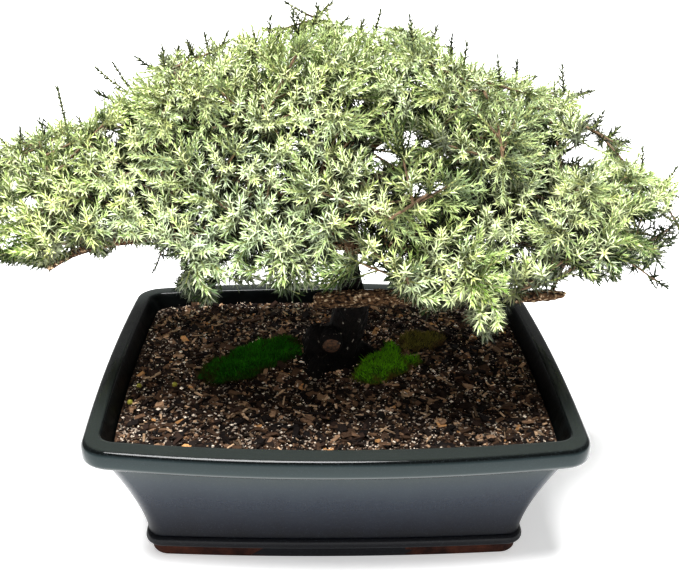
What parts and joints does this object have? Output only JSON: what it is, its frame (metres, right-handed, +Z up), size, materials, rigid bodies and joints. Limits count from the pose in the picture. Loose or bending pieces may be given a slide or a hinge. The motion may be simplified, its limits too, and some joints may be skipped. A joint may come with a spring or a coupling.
{
  "type": "juniper bonsai in a glazed pot",
  "caption": "Low dome-shaped juniper tree with needle sprays, planted with moss in a dark glazed rectangular pot on feet.",
  "frame": {"origin": "centre of the whole plant's footprint, on the surface the pot stands on", "axes": "+Z up, +X to the right as seen from the front, +Y away from the front"},
  "size_m": [0.3816, 0.224, 0.274],
  "materials": {
    "glaze": "glossy blue-green black glaze, bare red-brown clay on the feet",
    "screen": "black plastic mesh",
    "soil": "loose moist bark mix with white grit",
    "moss_green": "dense soft moss",
    "moss_brown": "dry brown moss",
    "bark": "dark rough scaly bark",
    "needles": "living green needles with a whitish bloom"
  },
  "bodies": {
    "root": {"pot": "glaze", "drain_screen_left": "screen", "drain_screen_right": "screen", "soil": "soil", "moss_left": "moss_green", "moss_right": "moss_green", "moss_brown": "moss_brown", "trunk": "bark", "spray_leader_1": "needles", "spray_leader_2": "needles", "spray_crown_left_1": "needles", "spray_crown_right_1": "needles", "spray_left_high_1": "needles", "spray_left_high_2": "needles", "spray_left_high_3": "needles", "spray_left_high_4": "needles", "spray_left_wing_1": "needles", "spray_left_wing_2": "needles", "spray_left_wing_3": "needles", "spray_left_wing_4": "needles", "spray_left_stub_1": "needles", "spray_left_stub_2": "needles", "spray_left_back_1": "needles", "spray_left_back_2": "needles", "spray_left_back_3": "needles", "spray_left_back_4": "needles", "spray_back_1": "needles", "spray_back_2": "needles", "spray_back_3": "needles", "spray_right_back_1": "needles", "spray_right_back_2": "needles", "spray_right_back_3": "needles", "spray_right_back_4": "needles", "spray_right_high_1": "needles", "spray_right_high_2": "needles", "spray_right_high_3": "needles", "spray_right_high_4": "needles", "spray_right_wing_1": "needles", "spray_right_wing_2": "needles", "spray_right_wing_3": "needles", "spray_right_wing_4": "needles", "spray_right_low_1": "needles", "spray_right_low_2": "needles", "spray_low_right_1": "needles", "spray_low_right_2": "needles", "spray_low_right_3": "needles", "spray_front_left_1": "needles", "spray_front_left_2": "needles", "spray_front_1": "needles", "spray_front_2": "needles", "spray_low_front_1": "needles", "spray_front_right_1": "needles", "spray_front_right_2": "needles", "spray_front_right_3": "needles", "spray_high_left_front_1": "needles", "spray_high_left_front_2": "needles", "spray_high_left_front_3": "needles", "spray_high_right_front_1": "needles", "spray_high_right_front_2": "needles", "spray_high_right_front_3": "needles"}
  },
  "joints": []
}
